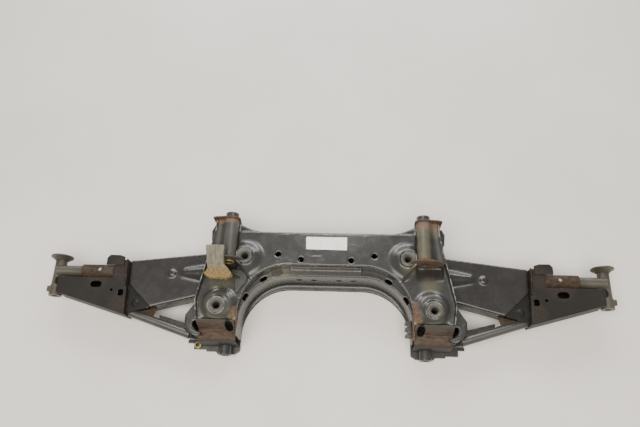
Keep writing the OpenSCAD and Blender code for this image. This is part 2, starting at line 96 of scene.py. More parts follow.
def feed(tree, shader, **linked):
    """Links what a finish has worked out to the shader's own sockets."""
    for socket, value in linked.items():
        tree.links.new(value, shader.inputs[socket.replace("_", " ")])


def spots(tree, place, where):
    """Mask that is 1 at the middle of each round spot (x, y, z, radius in mm) and fades to 0 at its edge."""
    mask = None
    for x, y, z, r in where:
        away = put(tree, "VectorMath", {0: place, 1: (x * MM, y * MM, z * MM)}, "Value", operation="DISTANCE")
        near = put(tree, "MapRange", {"Value": away, "From Min": r * MM, "From Max": r * 0.25 * MM}, **SMOOTH)
        mask = near if mask is None else put(tree, "Math", {0: mask, 1: near}, **MOST)
    return mask


# Tones that lie on the paint or show through it, painted shade and painted highlight among them; steel and
# rust have a deep and a pale one
PAINTED_SHADE_TONE, HEAT_STAIN_AND_PAINTED_LIGHT, PRIMER_AND_HIGHLIGHT, SCRATCH_AND_HIGHLIGHT = "#1F1E1C", "#6B6752", "#A5A198", "#C9C6BF"
BROWN_FILM, RED_RUST, MASKED_STEEL = ("#2F2823", "#3F362E"), ("#463629", "#7A5C42"), ("#54453A", "#7D6450")


# Chassis paint on pressed steel: wet grey-black with slight orange peel, dusty, stained, pale at worn edges;
# it also lays painted shade, painted light and painted highlights
def chassis_paint(name, paint, dark, dust, gloss, wear_and_highlight, rust_at=(), brown_at=(), tint_at=(), scuff_and_highlight_at=(),
                  shade_at=(), band=None, sheen=0.5, pale_edge_width=1.6, fold=None):
    """Stains, painted shade and painted light are spots (x, y, z, radius in mm). wear_and_highlight says how
    much of the edges turns pale, as bare primer and as painted highlight, and pale_edge_width how wide a
    stretch, in mm.
    fold is the bend past which folds turn pale too. band is where the paint ends along Y: first and last line
    and its waviness, in mm."""
    material, tree, shader, place = new_material(name)
    cloud = put(tree, "TexNoise", {"Vector": place, "Scale": per_mm(60), "Detail": 4})
    blotch = put(tree, "TexNoise", {"Vector": place, "Scale": per_mm(14), "Detail": 4})
    grit = put(tree, "TexNoise", {"Vector": place, "Scale": per_mm(3.5), "Detail": 3, "Roughness": 0.65})
    patch = put(tree, "MapRange", {"Value": cloud, "From Min": 0.35, "From Max": 0.68}, **SMOOTH)
    colour = put(tree, "Mix", {0: patch, 6: dark, 7: paint}, **COLOUR)
    film = put(tree, "MapRange", {"Value": blotch, "From Min": 0.45, "From Max": 0.85, "To Max": 0.25},
               **SMOOTH)
    colour = put(tree, "Mix", {0: film, 6: colour, 7: dust}, **COLOUR)
    rough = put(tree, "MapRange", {"Value": blotch, "From Min": 0.3, "From Max": 0.75, "To Min": gloss,
                                   "To Max": gloss + 0.07}, **SMOOTH)
    if shade_at:
        # painted shade: spots darkened towards near-black where the sheet drops away below the face
        settled = put(tree, "Math", {0: spots(tree, place, shade_at), 1: 0.85}, **TIMES)
        colour = put(tree, "Mix", {0: settled, 6: colour, 7: PAINTED_SHADE_TONE}, **COLOUR)
    if tint_at:
        uneven = put(tree, "MapRange", {"Value": cloud, "From Min": 0.3, "From Max": 0.65, "To Min": 0.3,
                                        "To Max": 0.6}, **SMOOTH)
        tint = put(tree, "Math", {0: spots(tree, place, tint_at), 1: uneven}, **TIMES)
        colour = put(tree, "Mix", {0: tint, 6: colour, 7: HEAT_STAIN_AND_PAINTED_LIGHT}, **COLOUR)
    ragged = put(tree, "Math", {0: put(tree, "Math", {0: blotch, 1: 0.6}, **TIMES),
                                1: put(tree, "Math", {0: grit, 1: 0.5}, **TIMES)}, **ADD)
    rust = None
    for where, full, strength, dull, (deep, pale) in ((brown_at, 1.5, 0.65, 0.35, BROWN_FILM),
                                                      (rust_at, 1.6, 0.95, 1.0, RED_RUST)):
        if not where:
            continue
        reach = put(tree, "Math", {0: spots(tree, place, where), 1: ragged}, **ADD)
        bare = put(tree, "MapRange", {"Value": reach, "From Min": 0.7, "From Max": full, "To Max": strength},
                   **SMOOTH)
        grain = put(tree, "MapRange", {"Value": grit, "From Min": 0.35, "From Max": 0.7}, **SMOOTH)
        crust = put(tree, "Mix", {0: grain, 6: deep, 7: pale}, **COLOUR)
        colour = put(tree, "Mix", {0: bare, 6: colour, 7: crust}, **COLOUR)
        bare = put(tree, "Math", {0: bare, 1: dull}, **TIMES)
        rust = bare if rust is None else put(tree, "Math", {0: rust, 1: bare}, **MOST)
    if band:
        # bare strip at the top end, where the paint stops at a masked line
        first, last, waviness = band
        deep, pale = MASKED_STEEL
        along = put(tree, "SeparateXYZ", {0: place}, "Y")
        swing = put(tree, "Math", {0: blotch, 1: waviness * MM}, **TIMES)
        wavy = put(tree, "Math", {0: swing, 1: along}, **ADD)
        bare = put(tree, "MapRange", {"Value": wavy, "From Min": first * MM, "From Max": last * MM}, **SMOOTH)
        crust = put(tree, "Mix", {0: grit, 6: deep, 7: pale}, **COLOUR)
        colour = put(tree, "Mix", {0: bare, 6: colour, 7: crust}, **COLOUR)
        rust = bare if rust is None else put(tree, "Math", {0: rust, 1: bare}, **MOST)
    # rounded normals differ from flat ones only near edges, which turn pale: rubbed-through primer, and where
    # the edge wear is set high, a painted highlight as well
    soft = put(tree, "Bevel", {"Radius": pale_edge_width * MM}, samples=4)
    flat = put(tree, "NewGeometry", {}, "Normal")
    alike = put(tree, "VectorMath", {0: soft, 1: flat}, "Value", operation="DOT_PRODUCT")
    edge = put(tree, "MapRange", {"Value": alike, "From Min": 0.995, "From Max": 0.9}, **SMOOTH)
    thin_from = 0.6 - 0.2 * wear_and_highlight
    thin = put(tree, "MapRange", {"Value": blotch, "From Min": thin_from, "From Max": thin_from + 0.12,
                                  "To Max": 0.6}, **SMOOTH)
    bend = put(tree, "NewGeometry", {}, "Pointiness")
    outward = put(tree, "MapRange", {"Value": bend, "From Min": 0.5, "From Max": 0.53}, **SMOOTH)
    pale_edges = put(tree, "Math", {0: put(tree, "Math", {0: edge, 1: thin}, **TIMES), 1: outward}, **TIMES)
    if fold:
        # the sharpest folds turn pale in broken lines, partly paint rubbed bare and partly a painted highlight
        # along the rims
        ridge = put(tree, "MapRange", {"Value": bend, "From Min": fold, "From Max": fold + 0.02,
                                       "To Max": 0.6}, **SMOOTH)
        broken = put(tree, "MapRange", {"Value": blotch, "From Min": 0.4, "From Max": 0.55}, **SMOOTH)
        pale_edges = put(tree, "Math", {0: pale_edges, 1: put(tree, "Math", {0: ridge, 1: broken}, **TIMES)}, **MOST)
    colour = put(tree, "Mix", {0: pale_edges, 6: colour, 7: PRIMER_AND_HIGHLIGHT}, **COLOUR)
    if scuff_and_highlight_at:
        # scratches lie mostly along the beam, about 1 mm wide and some seventeen times as long
        drawn = put(tree, "Mapping", {"Vector": place, "Rotation": (0, 0, 0.35), "Scale": (0.06, 1, 1)})
        lines = put(tree, "TexNoise", {"Vector": drawn, "Scale": per_mm(1.1), "Detail": 2})
        near = spots(tree, place, scuff_and_highlight_at)
        scored = put(tree, "MapRange", {"Value": lines, "From Min": 0.6, "From Max": 0.68, "To Max": 0.6},
                     **SMOOTH)
        scored = put(tree, "Math", {0: scored, 1: near}, **TIMES)
        colour = put(tree, "Mix", {0: scored, 6: colour, 7: SCRATCH_AND_HIGHLIGHT}, **COLOUR)
    height = put(tree, "Math", {0: grit, 1: 0.15}, **TIMES)
    if rust is not None:
        rough = put(tree, "Mix", {0: rust, 2: rough, 3: 0.85})
        height = put(tree, "Math", {0: height, 1: put(tree, "Math", {0: rust, 1: grit}, **TIMES)}, **ADD)
    bump = put(tree, "Bump", {"Height": height, "Distance": 0.6 * MM, "Strength": 0.07})
    shader.inputs["Specular IOR Level"].default_value = sheen
    feed(tree, shader, Base_Color=colour, Roughness=rough, Normal=bump)
    return material


# Mild steel plate left to rust: matt brown scale over some old grey paint, with grit a millimetre across
def rusted_steel(name, pale, deep, paint, left, drawn=(1, 1, 1), painted=()):
    """left is how much old paint is left. drawn stretches the scale along the plate, as rolling and running
    water leave it. painted says where a coat still holds: axis, first and last line in mm, and tone."""
    material, tree, shader, place = new_material(name)
    laid = put(tree, "Mapping", {"Vector": place, "Scale": drawn})
    field = put(tree, "TexNoise", {"Vector": laid, "Scale": per_mm(24), "Detail": 5})
    scale = put(tree, "TexNoise", {"Vector": laid, "Scale": per_mm(6), "Detail": 5, "Roughness": 0.65})
    grit = put(tree, "TexNoise", {"Vector": place, "Scale": per_mm(1.4), "Detail": 3, "Roughness": 0.7})
    crust = put(tree, "MapRange", {"Value": scale, "From Min": 0.35, "From Max": 0.68}, **SMOOTH)
    colour = put(tree, "Mix", {0: crust, 6: deep, 7: pale}, **COLOUR)
    pits = put(tree, "MapRange", {"Value": grit, "From Min": 0.5, "From Max": 0.75, "To Max": 0.4}, **SMOOTH)
    colour = put(tree, "Mix", {0: pits, 6: colour, 7: deep}, **COLOUR)
    kept = put(tree, "MapRange", {"Value": field, "From Min": 0.6 - left, "From Max": 0.74 - left,
                                  "To Max": 0.9}, **SMOOTH)
    colour = put(tree, "Mix", {0: kept, 6: colour, 7: paint}, **COLOUR)
    for axis, first, last, coat in painted:
        # paint that still holds past a ragged line across the plate
        along = put(tree, "SeparateXYZ", {0: place}, axis)
        swing = put(tree, "Math", {0: scale, 1: 12 * MM}, **TIMES)
        wavy = put(tree, "Math", {0: swing, 1: along}, **ADD)
        holds = put(tree, "MapRange", {"Value": wavy, "From Min": first * MM, "From Max": last * MM},
                    **SMOOTH)
        colour = put(tree, "Mix", {0: holds, 6: colour, 7: coat}, **COLOUR)
        kept = put(tree, "Math", {0: kept, 1: holds}, **MOST)
    rough = put(tree, "Mix", {0: kept, 2: 0.86, 3: 0.6})
    height = put(tree, "Math", {0: scale, 1: put(tree, "Math", {0: grit, 1: 0.6}, **TIMES)}, **ADD)
    bump = put(tree, "Bump", {"Height": height, "Distance": 0.7 * MM, "Strength": 0.55})
    shader.inputs["Specular IOR Level"].default_value = 0.2
    feed(tree, shader, Base_Color=colour, Roughness=rough, Normal=bump)
    return material


# Turned, plated or moulded small parts: even tone, stains a few millimetres wide and a fine tooled grain
def small_part_finish(name, tone, stain, metal, rough_low):
    material, tree, shader, place = new_material(name)
    blotch = put(tree, "TexNoise", {"Vector": place, "Scale": per_mm(9), "Detail": 4})
    fine = put(tree, "TexNoise", {"Vector": place, "Scale": per_mm(1.6), "Detail": 2})
    share = put(tree, "MapRange", {"Value": blotch, "From Min": 0.42, "From Max": 0.66}, **SMOOTH)
    colour = put(tree, "Mix", {0: share, 6: tone, 7: stain}, **COLOUR)
    rough = put(tree, "MapRange", {"Value": fine, "From Min": 0.3, "From Max": 0.7, "To Min": rough_low,
                                   "To Max": rough_low + 0.22}, **SMOOTH)
    bump = put(tree, "Bump", {"Height": fine, "Distance": 0.2 * MM, "Strength": 0.35})
    shader.inputs["Metallic"].default_value = metal
    feed(tree, shader, Base_Color=colour, Roughness=rough, Normal=bump)
    return material


# Uncoated paper stuck on the paint: off-white and matt, soiled in smudges, faintly creased
def label_paper():
    material, tree, shader, place = new_material("label_paper")
    smudge = put(tree, "TexNoise", {"Vector": place, "Scale": per_mm(16), "Detail": 5, "Roughness": 0.6})
    fibre = put(tree, "TexNoise", {"Vector": place, "Scale": per_mm(0.9), "Detail": 2})
    soil = put(tree, "MapRange", {"Value": smudge, "From Min": 0.56, "From Max": 0.74, "To Max": 0.35},
               **SMOOTH)
    colour = put(tree, "Mix", {0: soil, 6: "#FBFAF6", 7: "#BDB7AD"}, **COLOUR)
    crease = put(tree, "Math", {0: smudge, 1: put(tree, "Math", {0: fibre, 1: 0.1}, **TIMES)}, **ADD)
    bump = put(tree, "Bump", {"Height": crease, "Distance": 0.8 * MM, "Strength": 0.3})
    shader.inputs["Roughness"].default_value = 0.7
    feed(tree, shader, Base_Color=colour, Normal=bump)
    return material


# Moulded foam rubber gone tan with age: dull, streaked along its length, crumbling to rusty yellow at one end
def aged_moulding():
    material, tree, shader, place = new_material("aged_foam_rubber")
    laid = put(tree, "Mapping", {"Vector": place, "Scale": (1.0, 0.22, 0.6)})
    streak = put(tree, "TexNoise", {"Vector": laid, "Scale": per_mm(5), "Detail": 4})
    crumb = put(tree, "TexNoise", {"Vector": place, "Scale": per_mm(3), "Detail": 4, "Roughness": 0.7})
    share = put(tree, "MapRange", {"Value": streak, "From Min": 0.35, "From Max": 0.7}, **SMOOTH)
    colour = put(tree, "Mix", {0: share, 6: "#5F5A4C", 7: "#7F7865"}, **COLOUR)
    along = put(tree, "SeparateXYZ", {0: place}, "Y")
    foot = put(tree, "MapRange", {"Value": along, "From Min": -22 * MM, "From Max": -52 * MM})
    loose = put(tree, "Math", {0: crumb, 1: 0.9}, **TIMES)
    gone = put(tree, "MapRange", {"Value": put(tree, "Math", {0: foot, 1: loose}, **ADD), "From Min": 0.7,
                                  "From Max": 1.15}, **SMOOTH)
    tone = put(tree, "MapRange", {"Value": crumb, "From Min": 0.35, "From Max": 0.65}, **SMOOTH)
    rusty = put(tree, "Mix", {0: tone, 6: "#5F452C", 7: "#8E7A48"}, **COLOUR)
    colour = put(tree, "Mix", {0: gone, 6: colour, 7: rusty}, **COLOUR)
    bump = put(tree, "Bump", {"Height": put(tree, "Math", {0: streak, 1: crumb}, **ADD), "Distance": 1.0 * MM,
                              "Strength": 0.5})
    shader.inputs["Roughness"].default_value = 0.85
    feed(tree, shader, Base_Color=colour, Normal=bump)
    return material


# Painted concrete floor, swept but used: pale and matt with faint cloudy patches
def pale_floor():
    material, tree, shader, place = new_material("painted_concrete")
    cloud = put(tree, "TexNoise", {"Vector": place, "Scale": per_mm(320), "Detail": 4})
    share = put(tree, "MapRange", {"Value": cloud, "From Min": 0.35, "From Max": 0.7}, **SMOOTH)
    colour = put(tree, "Mix", {0: share, 6: "#E6E0D8", 7: "#EDE7DF"}, **COLOUR)
    shader.inputs["Roughness"].default_value = 0.6
    feed(tree, shader, Base_Color=colour)
    return material


# Finishes of this frame's pieces

def both_sides(*right):
    """Spots of the right half, and their mirror images on the left half."""
    return [(s * x, y, z, r) for _, s in SIDES for x, y, z, r in right]


# Tones of paint: the coat, its darker patches and the dust on it
SHELL, WING = ("#3A3936", "#32312F", "#45433F"), ("#2D2B29", "#292725", "#33302D")
# Stains, rubs, painted shade and painted light on the two shells; the long run of pale scuffs along the upper
# edge is partly chipped paint and partly a painted highlight on that fold, and another run follows the crown
# of the arch
MARKS = {
    "rust_at": [(189, -98, 99, 16), (190, -112, 99, 19), (191, -127, 99, 21), (188, -133, 80, 24),
                (189, -150, 66, 26), (190, -164, 46, 24),
                (-189, -116, 99, 15), (-191, -129, 99, 19), (-188, -133, 80, 24)],
    # Olive tints; the spot below the left ear, at (-224, -54), lightens the tower floor there as painted light
    "tint_at": [(182, -14, 112, 30), (-228, -108, 113, 40), (228, -108, 113, 26), (222, -52, 99, 30),
                (-224, -54, 99, 34), (-100, -30, 76, 40)],
    "scuff_and_highlight_at": [(-20, 10, 105, 24), (56, 32, 105, 16), (-90, -12, 100, 26),
                 *((x, 61, 104, 12) for x in range(-110, 150, 12)),
                 *((x, -14, 98, 12) for x in range(-76, 80, 14))],
    # shade_at darkens the webs at both ends of the beam as painted shade
    "shade_at": both_sides((150, 74, 98, 34), (176, 80, 98, 34))}
shell_paint = chassis_paint("shell_chassis_paint", *SHELL, gloss=0.24, wear_and_highlight=0.25, **MARKS)
# On the front shell the sharpest folds, the tower rims among them, turn pale: partly bare paint, partly
# painted highlight
front_paint = chassis_paint("front_shell_chassis_paint", *SHELL, gloss=0.24, wear_and_highlight=0.25, fold=0.53, **MARKS)
# The strip on the ledge has a lighter coat, and its wide pale edges are a painted highlight along it
strip_paint = chassis_paint("strip_chassis_paint", "#4A4844", "#3F3D3A", "#55524C", gloss=0.2, wear_and_highlight=1.3,
                            pale_edge_width=3.5)
cover_paint = {
    # the left cover's coat is toned lighter than the shell's: painted light, for the brighter light that falls
    # on it
    "l": chassis_paint("masked_chassis_paint_painted_light", "#4B4945", "#42403C", "#56534D", gloss=0.3, wear_and_highlight=0.25,
                       band=(74, 75.5, 2)),
    "r": chassis_paint("scorched_chassis_paint", *SHELL, gloss=0.3, wear_and_highlight=0.45, band=(62, 84, 14),
                       rust_at=[(210, -6, 126, 18), (228, -8, 112, 16)],
                       tint_at=[(208, 60, 126, 34), (208, 30, 127, 30), (208, 5, 127, 30),
                                (236, 70, 110, 30)])}
wing_paint = chassis_paint("wing_chassis_paint", *WING, gloss=0.24, wear_and_highlight=0.3)
box_paint = chassis_paint("box_chassis_paint", *WING, gloss=0.45, wear_and_highlight=0.3, sheen=0.1,
                          brown_at=both_sides((500, -46, 85, 44), (452, -24, 85, 40), (446, -104, 85, 34),
                                              (434, -60, 92, 22)))
# The sunk corner panels are coated darker than the arms: painted shade for their recess
sunk_panel_shade_paint = chassis_paint("sunk_panel_painted_shade", "#242321", "#1E1D1B", "#2C2A27", gloss=0.4, wear_and_highlight=0.2,
                           sheen=0.12)
brace_paint = chassis_paint("brace_chassis_paint", "#474541", "#3B3936", "#53504A", gloss=0.28, wear_and_highlight=0.8)
worn_paint = chassis_paint("worn_post_paint", "#504B40", "#3E392F", "#5F5849", gloss=0.4, wear_and_highlight=0.5,
                           brown_at=both_sides((600, -6, 62, 26), (545, -30, 92, 30)))
rust_plate = rusted_steel("rusted_plate_steel", "#735841", "#4D3D30", "#4C4842", left=0.12)
bracket_rust = rusted_steel("streaked_bracket_steel", "#5F4D40", "#43372F", "#504B44", left=0.14,
                            drawn=(0.35, 1, 1),
                            painted=(("Z", 88, 98, "#4B473F"), ("Y", -160, -166, "#393530")))
left_ear_rust = rusted_steel("smoked_plate_steel", "#6A5549", "#463D38", "#454143", left=0.24)
weld_steel = rusted_steel("weld_bead_steel", "#6D5545", "#41352C", "#4A4742", left=0.1)
rust_brown = rusted_steel("brown_rusted_steel", "#4A3C2E", "#32281F", "#3F3931", left=0.12)
# The sleeves' edge wear is set high, so their pale rims are partly a painted highlight
sleeve_steel = chassis_paint("sleeve_chassis_paint", "#5C5A54", "#4C4A45", "#6A675F", gloss=0.26, wear_and_highlight=1.2)
plated = small_part_finish("yellow_plated_steel", "#A2944C", "#6F6640", metal=0.6, rough_low=0.4)
zinc_strap = small_part_finish("dull_zinc_strap", "#3A3932", "#31302A", metal=0.1, rough_low=0.45)
clip_plastic = small_part_finish("black_clip_plastic", "#3A3B39", "#4B4C48", metal=0.0, rough_low=0.45)

# The record's slots and their finishes, then the nodes that have one of their own
finish_of = {"shell_paint": shell_paint, "wing_paint": wing_paint, "worn_paint": worn_paint,
             "sleeve_steel": sleeve_steel, "rust_plate": rust_plate, "rust_brown": rust_brown,
             "paper": label_paper(), "moulding": aged_moulding(), "plated": plated,
             "zinc_strap": zinc_strap, "clip_plastic": clip_plastic}
own_finish = {"front_shell": front_paint, "arch_strip": strip_paint, "ear_plate_l": left_ear_rust}
for tag, _ in SIDES:
    for part, paint in (("link_bracket_", bracket_rust), ("tube_cover_", cover_paint[tag]),
                        ("top_tab_", box_paint), ("end_box_", box_paint), ("end_rear_", box_paint),
                        ("corner_panel_", sunk_panel_shade_paint), ("brace_tube_", brace_paint)):
        own_finish[part + tag] = paint


# Making of pieces

def dress(piece, *stands_for, slot=None, material=None):
    """Gives a finished piece its material, hangs it on the root body and hides the nodes it stands for."""
    piece.data.materials.clear()
    first = stands_for[0] if stands_for else None
    slot = slot or slot_of[first]
    piece.data.materials.append(material or own_finish.get(first) or finish_of[slot])
    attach(piece, "root")
    if stands_for:
        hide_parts(*stands_for)


def take_up(piece):
    """Makes one object the only one that the next operators act on."""
    bpy.ops.object.select_all(action="DESELECT")
    bpy.context.view_layer.objects.active = piece
    piece.select_set(True)


def work(piece, name, kind, **settings):
    """Adds a modifier with its settings to the piece that is taken up, and applies it."""
    step = piece.modifiers.new(name, kind)
    for key, value in settings.items():
        setattr(step, key, value)
    bpy.ops.object.modifier_apply(modifier=name)


# Points nearer than this are joined, and folds past these angles stay crisp
JOINED = 0.01 * MM
SHARP, ROUNDED = math.radians(38), math.radians(60)


def merged_copy(node, name):
    """A copy of a CAD node's mesh with its loose triangles joined, open in edit mode."""
    piece = bpy.data.objects.new(name, nodes[node].data.copy())
    bpy.context.scene.collection.objects.link(piece)
    take_up(piece)
    bpy.ops.object.mode_set(mode="EDIT")
    bpy.ops.mesh.select_all(action="SELECT")
    bpy.ops.mesh.customdata_custom_splitnormals_clear()
    bpy.ops.mesh.remove_doubles(threshold=JOINED)
    return piece


def settled_copy(node, name, voxel, pull, passes):
    """A copy of a CAD node, evenly remeshed and then settled so that its edges round off."""
    piece = merged_copy(node, name)
    bpy.ops.object.mode_set(mode="OBJECT")
    work(piece, "even_mesh", "REMESH", mode="VOXEL", voxel_size=voxel * MM)
    work(piece, "settle", "SMOOTH", factor=pull, iterations=passes)
    return piece


def soften(piece, width):
    """Rounds the sheet edges of a CAD node by modifiers alone, so its own mesh stays as packed."""
    weld = piece.modifiers.new("join_faces", "WELD")
    weld.merge_threshold = JOINED
    clean = piece.modifiers.new("clean_flats", "DECIMATE")
    clean.decimate_type = "DISSOLVE"
    clean.angle_limit = math.radians(0.6)
    edge = piece.modifiers.new("pressed_edges", "BEVEL")
    edge.width = width * MM
    edge.segments = 2
    edge.limit_method = "ANGLE"
    edge.angle_limit = math.radians(35)
    edge.use_clamp_overlap = True
    piece.modifiers.new("even_light", "WEIGHTED_NORMAL")


def drawn_sheet(node, voxel, passes, share, broad=None, broad_passes=0):
    """A pressing drawn afresh from its CAD node: folds and the feet of raised forms round off as drawn sheet
    does. share is how much of the faces is kept, and broad gives the parts that settle further, 0 to 1."""
    piece = settled_copy(node, node + "_pressing", voxel, 0.5, passes)
    if broad:
        group = piece.vertex_groups.new(name="drawn")
        for v in piece.data.vertices:
            group.add([v.index], broad(*(v.co / MM)), "REPLACE")
        work(piece, "wide_radii", "SMOOTH", factor=0.5, iterations=broad_passes, vertex_group="drawn")
    work(piece, "fewer_faces", "DECIMATE", ratio=share)
    bpy.ops.object.shade_smooth()
    dress(piece, node)


def grid_sheet(name, columns, rows, place):
    """A sheet shaped from a flat grid, face up: place gives the point in mm at a column and a row."""
    bpy.ops.object.select_all(action="DESELECT")
    bpy.ops.mesh.primitive_grid_add(x_subdivisions=columns, y_subdivisions=rows, size=2, location=(0, 0, 0))
    piece = bpy.context.object
    piece.name = name
    for v in piece.data.vertices:
        column, row = round((v.co.x + 1) / 2 * columns), round((v.co.y + 1) / 2 * rows)
        v.co = Vector(place(column, row)) * MM
    top = max(piece.data.polygons, key=lambda face: face.center.z)
    if top.normal.z < 0:
        bpy.ops.object.mode_set(mode="EDIT")
        bpy.ops.mesh.select_all(action="SELECT")
        bpy.ops.mesh.flip_normals()
        bpy.ops.object.mode_set(mode="OBJECT")
    return piece


# Sizes that the new pieces take from the solids, in millimetres

def box_mm(node):
    """A CAD node's lowest and highest corners in millimetres."""
    return [[round(c / MM, 3) for c in corner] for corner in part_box(node)]


(cover_in, EAR_TOP, FLOOR_Z), (cover_out, TOWER_TOP, cover_top) = box_mm("tube_cover_r")
TUBE_X, COVER_R = (cover_in + cover_out) / 2, (cover_out - cover_in) / 2
TUBE_Z = cover_top - COVER_R
# Inner side of a tower's rim: height line and distance from the middle
RIM_INSIDE = ((84, 239.8), (60, 240.3), (30, 245.8), (-30, 258.8))
# Corner that the back shell turns at a tower's foot
CORNER_R = 30
shell_low, shell_high = box_mm("rear_shell")
CORNER_X, CORNER_Y = shell_high[0] - CORNER_R, shell_low[1] + CORNER_R
(_, _, FOOT_BACK), (FOOT_OUT, FOOT_TOP, FOOT_FACE) = box_mm("foot_plate_r")
# Domes of the front shell: place, then the ring round each that was drawn furthest
DOMES = ((226, -104, 21, 46), (175, 0, 21, 44))
# Ramps below the ears, and the tapered rib on an arm
RAMP_X, RAMP_Y = (178, 252), (-76, -13)
RIB_X, RIB_Y, RIB_HALF, RIB_Z = (266, 332), -29, 30, 66


def rim_x(y):
    """Inner side of the tower's rim at a height line."""
    for (y0, x0), (y1, x1) in zip(RIM_INSIDE, RIM_INSIDE[1:]):
        if y >= y1:
            return x0 + (x1 - x0) * (y0 - y) / (y0 - y1)
    return RIM_INSIDE[-1][1]


def rim_z(y):
    """Height at which the web meets the rim."""
    return 113 + 0.03 * y


def cover_line(y):
    """Points across a tube cover from its inner foot, over the tube, and down the web to the rim."""
    over_tube, down_web = 17, 25
    leaving, arriving = Vector((0.588, -0.809)), Vector((-0.75, -0.42))
    line = [(TUBE_X - COVER_R, FLOOR_Z), (TUBE_X - COVER_R, TUBE_Z - 5)]
    for i in range(over_tube):
        a = math.radians(180 - 9 * i)
        line.append((TUBE_X + COVER_R * math.cos(a), TUBE_Z + COVER_R * math.sin(a)))
    start, end = Vector(line[-1]), Vector((rim_x(y), rim_z(y)))
    pull = (end.x - start.x) * 0.6
    knots = (start, start + leaving * pull, end + arriving * pull, end)
    for i in range(1, down_web + 1):
        t = i / down_web
        weights = [math.comb(3, k) * t ** k * (1 - t) ** (3 - k) for k in range(4)]
        line.append(tuple(sum((knot * w for knot, w in zip(knots, weights)), Vector((0, 0)))))
    return line


def tube_cover(tag, s):
    """The drawn sheet over a body mount tube: one smooth skin from the beam across the tube to the rim."""
    rows, thickness = 23, 2.7

    def skin(column, row):
        y = EAR_TOP + (TOWER_TOP - EAR_TOP) * row / rows
        x, z = cover_line(y)[column]
        return s * x, y, z

    piece = grid_sheet("tube_cover_skin_" + tag, len(cover_line(EAR_TOP)) - 1, rows, skin)
    work(piece, "sheet", "SOLIDIFY", thickness=thickness * MM, offset=-1)
    bpy.ops.object.shade_smooth_by_angle(angle=SHARP)
    dress(piece, "tube_cover_" + tag, "tower_web_" + tag)


def corner_lip(tag, s):
    """The rolled lip where the back shell turns the corner beside the bracket, swept round the corner."""
    steps, start, sweep, thickness = 30, 14, 118, 2.2
    outer_r, inner_r, end_r, narrows_from = CORNER_R + 1, 14.5, 26.5, 0.45
    # Share of the way across the lip, and height in millimetres
    rolls = ((0.0, 60), (0.0, 66), (0.03, 71), (0.1, 74.4), (0.25, 76.6), (0.5, 77.2), (0.75, 76.6),
             (0.9, 74.8), (1.0, 71), (1.0, 64), (1.0, 56))

    def lip(column, row):
        along = column / steps
        turn = math.radians(start - sweep * along)
        inner = inner_r + (end_r - inner_r) * max(0, (along - narrows_from) / (1 - narrows_from)) ** 1.6
        share, z = rolls[row]
        r = inner + (outer_r - inner) * share
        return s * (CORNER_X + r * math.cos(turn)), CORNER_Y + r * math.sin(turn), z

    piece = grid_sheet("corner_lip_" + tag, steps, len(rolls) - 1, lip)
    work(piece, "sheet", "SOLIDIFY", thickness=thickness * MM, offset=-1)
    work(piece, "rolled", "SUBSURF", levels=1, render_levels=1)
    bpy.ops.object.shade_smooth_by_angle(angle=ROUNDED)
    dress(piece, slot="shell_paint")


def foot_corner(tag, s):
    """The part of the foot plate that fills the corner below the back shell's turn."""
    steps, start, sweep, lap = 16, -4, -82, 0.05
    inner_r, outer_r = CORNER_R + 0.4, CORNER_R + 12.5

    def plate(column, row):
        turn = math.radians(start + sweep * column / steps)
        x, y = CORNER_X + inner_r * math.cos(turn), CORNER_Y + inner_r * math.sin(turn)
        if row:
            x = min(FOOT_OUT, max(x, CORNER_X + outer_r * math.cos(turn)))
            y = max(FOOT_TOP - lap, min(y, CORNER_Y + outer_r * math.sin(turn)))
        return s * x, y, FOOT_FACE

    piece = grid_sheet("foot_corner_" + tag, steps, 1, plate)
    work(piece, "plate", "SOLIDIFY", thickness=(FOOT_FACE - FOOT_BACK) * MM, offset=-1)
    work(piece, "soft_edges", "BEVEL", width=0.6 * MM, segments=2)
    bpy.ops.object.shade_smooth_by_angle(angle=SHARP)
    dress(piece, slot="shell_paint")


def weld_bead(name, path, width, material=weld_steel, slot="rust_plate"):
    """A run of weld along a path in millimetres, rippled by a bead radius that swells and shrinks."""
    ripple, most_stray = width * 0.45, width * 0.09
    points = [Vector(p) for p in path]
    fine = []
    for a, b in zip(points, points[1:]):
        count = max(1, round((b - a).length / ripple))
        fine += [a.lerp(b, i / count) for i in range(count)]
    fine.append(points[-1])
    curve = bpy.data.curves.new(name, "CURVE")
    curve.dimensions = "3D"
    curve.bevel_depth = width / 2 * MM
    curve.bevel_resolution = 2
    curve.use_fill_caps = True
    run = curve.splines.new("POLY")
    run.points.add(len(fine) - 1)
    for i, (knot, p) in enumerate(zip(run.points, fine)):
        stray = noise.noise_vector(p * 0.16) * most_stray
        knot.co = (*((p + stray) * MM), 1)
        knot.radius = 0.85 + 0.18 * math.sin(i * 1.9) + 0.2 * noise.noise(p * 0.12)
    piece = bpy.data.objects.new(name, curve)
    bpy.context.scene.collection.objects.link(piece)
    take_up(piece)
    bpy.ops.object.convert(target="MESH")
    piece = bpy.context.object
    bpy.ops.object.shade_smooth()
    dress(piece, slot=slot, material=material)


def foam_block():
    """The moulded block: its CAD form remeshed, then pushed about so its faces sag and one end crumbles."""
    crumbles_from, crumbled_over, foot_z, height, most_drop = -26, 18, 128, 22, 9
    piece = settled_copy("tan_block", "tan_block_moulding", 1.3, 0.6, 5)
    for v in piece.data.vertices:
        p = v.co / MM
        low = min(1, max(0, (crumbles_from - p.y) / crumbled_over))
        sag, lump, crumb = noise.noise(p * 0.05), noise.noise(p * 0.22), noise.noise(p * 0.6)
        push = sag * 0.8 + lump * (0.25 + 1.5 * low) + crumb * 0.6 * low
        drop = low * max(0, (p.z - foot_z) / height) * most_drop
        v.co += v.normal * push * MM - Vector((0, 0, drop * MM))
    bpy.ops.object.shade_smooth()
    dress(piece, "tan_block")


